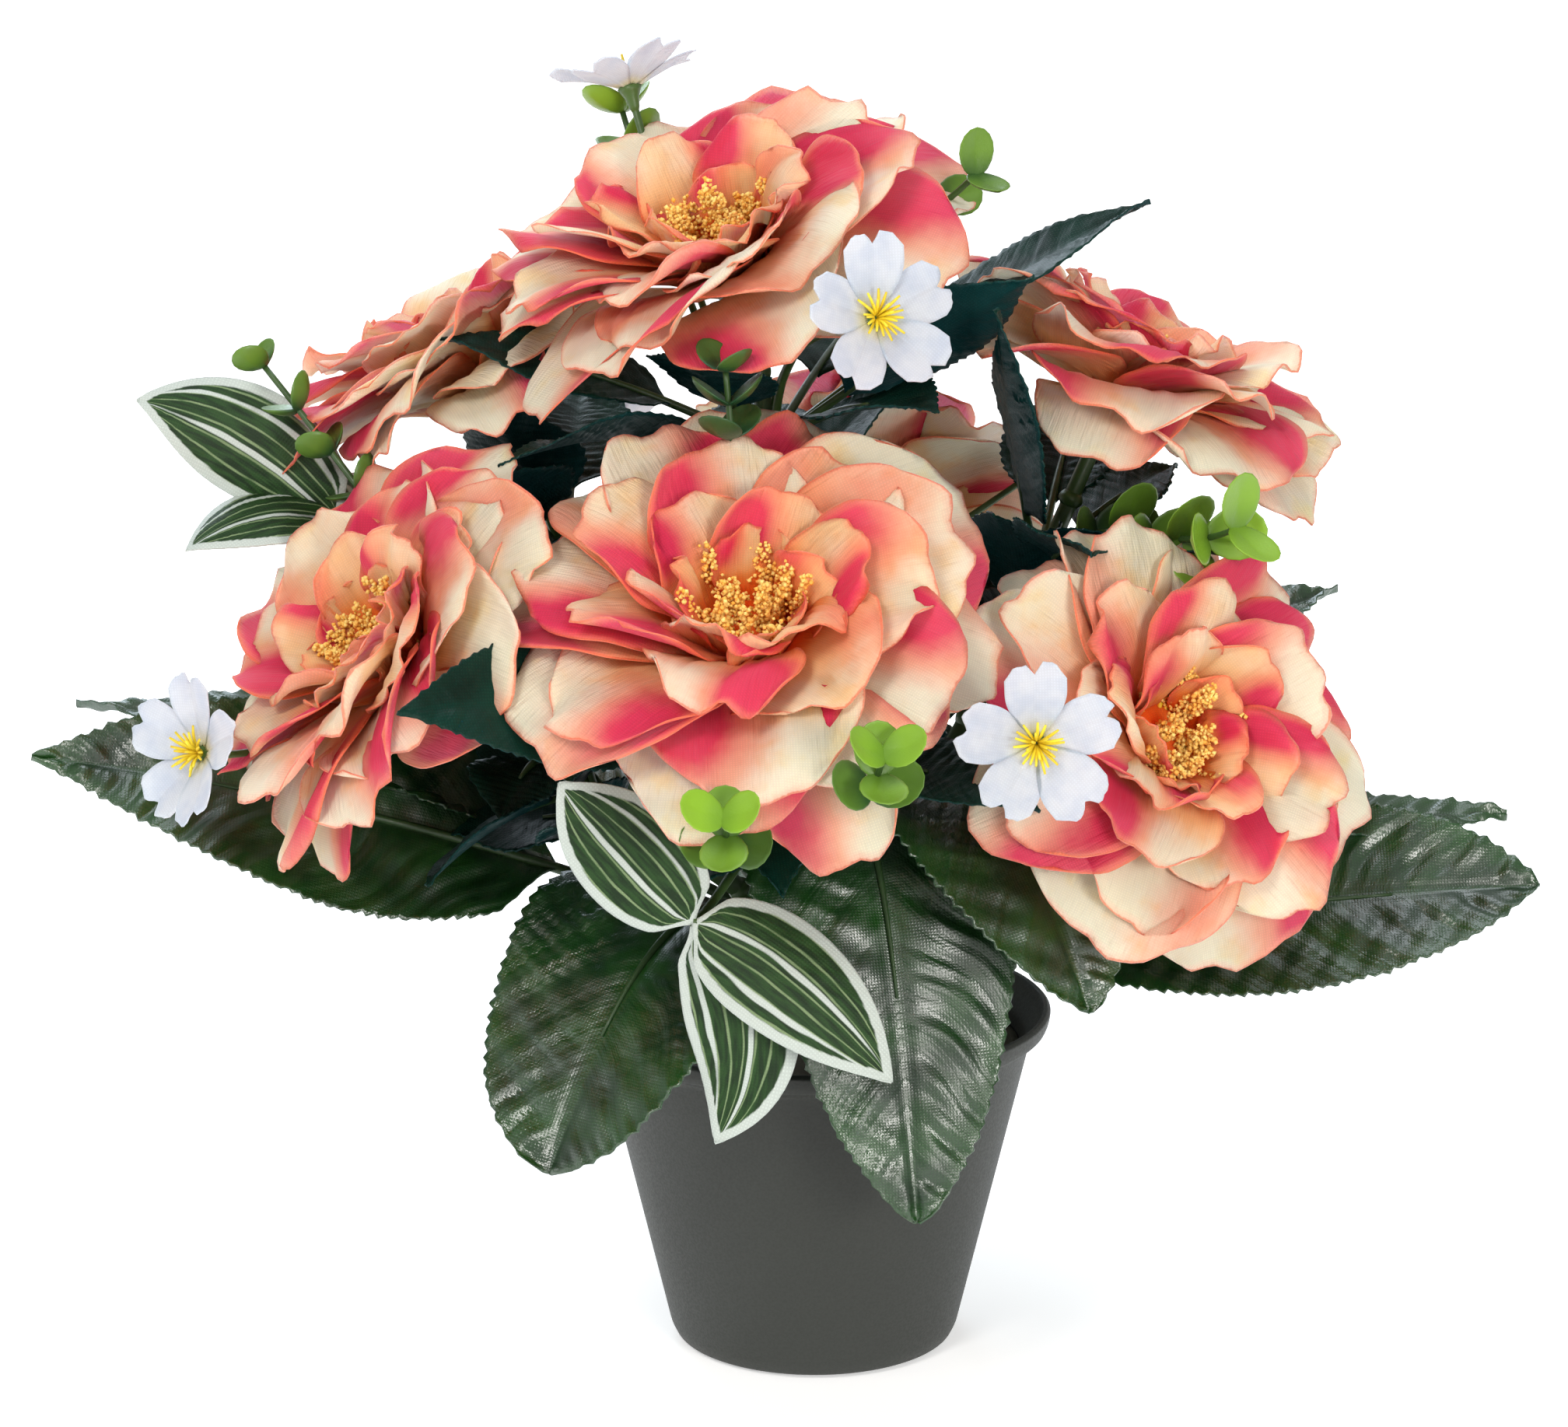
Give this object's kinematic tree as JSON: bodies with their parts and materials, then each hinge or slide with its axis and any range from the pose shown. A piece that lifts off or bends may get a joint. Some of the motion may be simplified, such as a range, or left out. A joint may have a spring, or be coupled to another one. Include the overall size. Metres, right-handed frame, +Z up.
{
  "type": "artificial potted camellia",
  "caption": "Artificial camellia arrangement: cloth blooms, small white flowers, sprigs and leaves on a moulded bush, standing in a plain tapered pot.",
  "frame": {"origin": "middle of the pot's flat underside, on the pot's axis", "axes": "+Z up along the pot's axis, -Y towards the front, where the front bloom and the striped leaves are, +X to the right seen from the front"},
  "size_m": [0.4028, 0.3171, 0.36],
  "materials": {
    "pot": "matte",
    "filling": "matte",
    "stems": "satin",
    "bloom_petals": "satin",
    "white_petals": "matte",
    "box_leaves": "satin",
    "striped_leaves": "matte",
    "collar_leaves": "satin",
    "camellia_leaves": "satin"
  },
  "bodies": {
    "root": {"bloom_back": "bloom_petals", "bloom_back_left": "bloom_petals", "bloom_back_right": "bloom_petals", "bloom_front": "bloom_petals", "bloom_left": "bloom_petals", "bloom_right": "bloom_petals", "bloom_top": "bloom_petals", "box_sprig_back": "box_leaves", "box_sprig_back_left": "box_leaves", "box_sprig_left": "box_leaves", "box_sprig_low_front": "box_leaves", "box_sprig_low_right": "box_leaves", "box_sprig_middle": "box_leaves", "box_sprig_right": "box_leaves", "box_sprig_top": "box_leaves", "box_sprig_top_right": "box_leaves", "branch_back": "stems", "branch_back_left": "stems", "branch_back_right": "stems", "branch_front": "stems", "branch_left": "stems", "branch_right": "stems", "branch_top": "stems", "collar_leaf_back": "collar_leaves", "collar_leaf_back_left": "collar_leaves", "collar_leaf_back_low": "collar_leaves", "collar_leaf_back_right": "collar_leaves", "collar_leaf_front": "collar_leaves", "collar_leaf_front_left": "collar_leaves", "collar_leaf_front_right": "collar_leaves", "collar_leaf_left": "collar_leaves", "collar_leaf_left_upper": "collar_leaves", "collar_leaf_right": "collar_leaves", "collar_leaf_right_upper": "collar_leaves", "leaves_back": "camellia_leaves", "leaves_back_left": "camellia_leaves", "leaves_back_right": "camellia_leaves", "leaves_front": "camellia_leaves", "leaves_left": "camellia_leaves", "leaves_right": "camellia_leaves", "leaves_top": "camellia_leaves", "main_stem": "stems", "pot": "pot", "pot_filling": "filling", "striped_leaves_back": "striped_leaves", "striped_leaves_front": "striped_leaves", "striped_leaves_left": "striped_leaves", "white_flower_back": "white_petals", "white_flower_back_left": "white_petals", "white_flower_front_right": "white_petals", "white_flower_front_top": "white_petals", "white_flower_left": "white_petals", "white_flower_top": "white_petals"}
  },
  "joints": []
}
